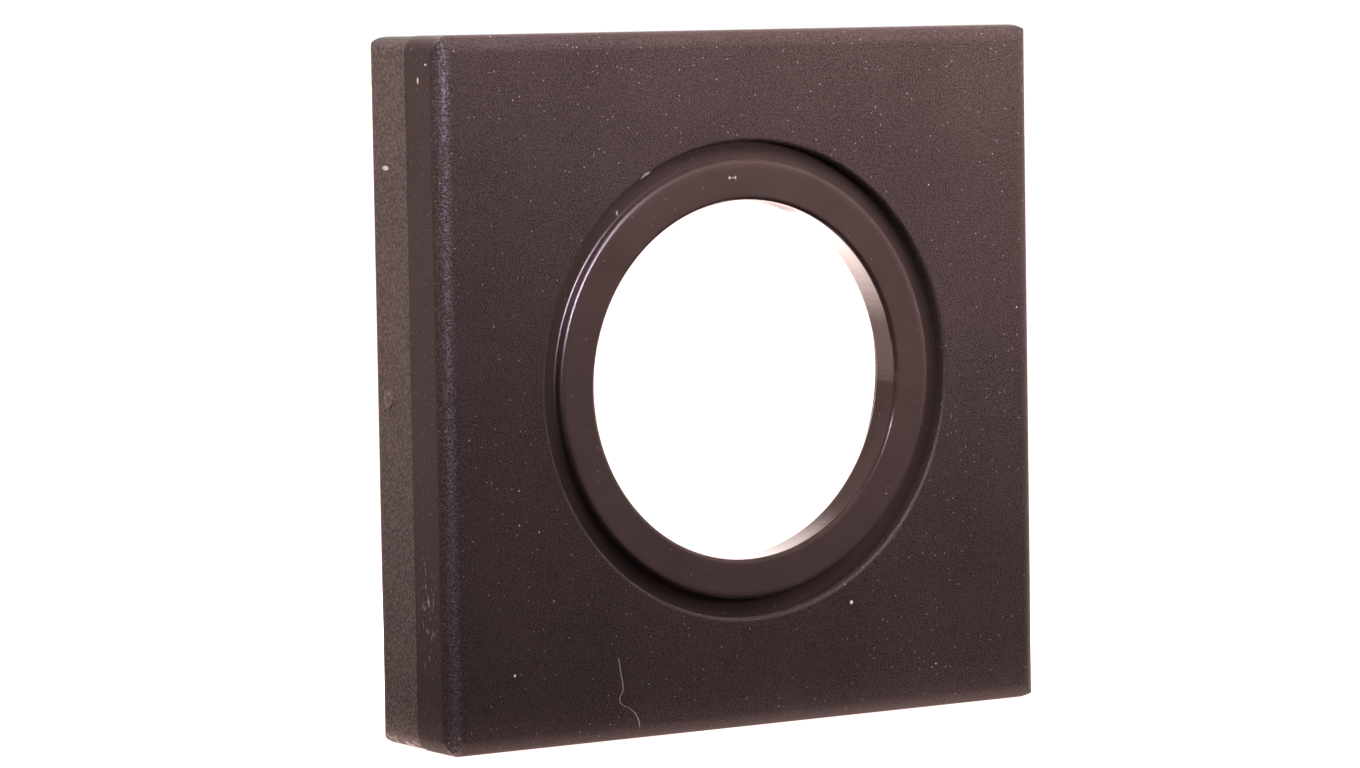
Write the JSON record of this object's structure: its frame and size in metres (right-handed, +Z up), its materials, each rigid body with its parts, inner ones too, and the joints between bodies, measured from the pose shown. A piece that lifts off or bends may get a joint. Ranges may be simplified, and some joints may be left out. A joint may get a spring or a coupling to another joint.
{
  "type": "negative carrier",
  "caption": "Square hinged negative carrier with a round window: a sprung plate presses 35 mm film on rails between its front and rear halves.",
  "frame": {"origin": "where the optical axis meets the film plane, in the middle of the block", "axes": "+X to the right, towards the hinge; +Y along the optical axis, from the front face to the back; +Z up, along the film, with the block standing on its lower edge"},
  "size_m": [0.052, 0.01, 0.05],
  "materials": {
    "grained_moulding": "black moulded plastic with a fine spark-eroded grain",
    "satin_moulding": "smooth satin black plastic, without grain",
    "black_anodised": "matt black anodised aluminium",
    "polished_steel": "polished stainless steel",
    "steel_screws": "turned steel",
    "spring_wire": "drawn spring steel wire",
    "nickel_magnet": "nickel plated",
    "velvet": "short black pile"
  },
  "bodies": {
    "rear_half": {"rear_shell": "grained_moulding", "film_gate": "black_anodised", "film_rail_left": "polished_steel", "film_rail_right": "polished_steel", "gate_screws": "steel_screws", "rear_magnet_upper": "nickel_magnet", "rear_magnet_lower": "nickel_magnet", "rear_velvet_top": "velvet", "rear_velvet_bottom": "velvet", "hinge_pin": "polished_steel"},
    "front_half": {"front_shell": "grained_moulding", "aperture_ring": "satin_moulding", "shoulder_screws": "steel_screws", "pressure_spring_1": "spring_wire", "pressure_spring_2": "spring_wire", "pressure_spring_3": "spring_wire", "pressure_spring_4": "spring_wire", "front_magnet_upper": "nickel_magnet", "front_magnet_lower": "nickel_magnet", "front_velvet_top": "velvet", "front_velvet_bottom": "velvet"},
    "pressure_plate": {"pressure_plate": "black_anodised"}
  },
  "joints": [
    {"name": "half_hinge", "type": "hinge", "parent": "rear_half", "child": "front_half", "pos_m": [0.0252, 0, 0], "axis": [0, 0, 1], "range_deg": [0, 170]},
    {"name": "plate_slide", "type": "slide", "parent": "front_half", "child": "pressure_plate", "axis": [0, -1, 0], "range_m": [0, 0.0005], "stiffness_N_per_m": 800, "springref_m": -0.0005, "deforming": ["pressure_spring_1", "pressure_spring_2", "pressure_spring_3", "pressure_spring_4"]}
  ]
}
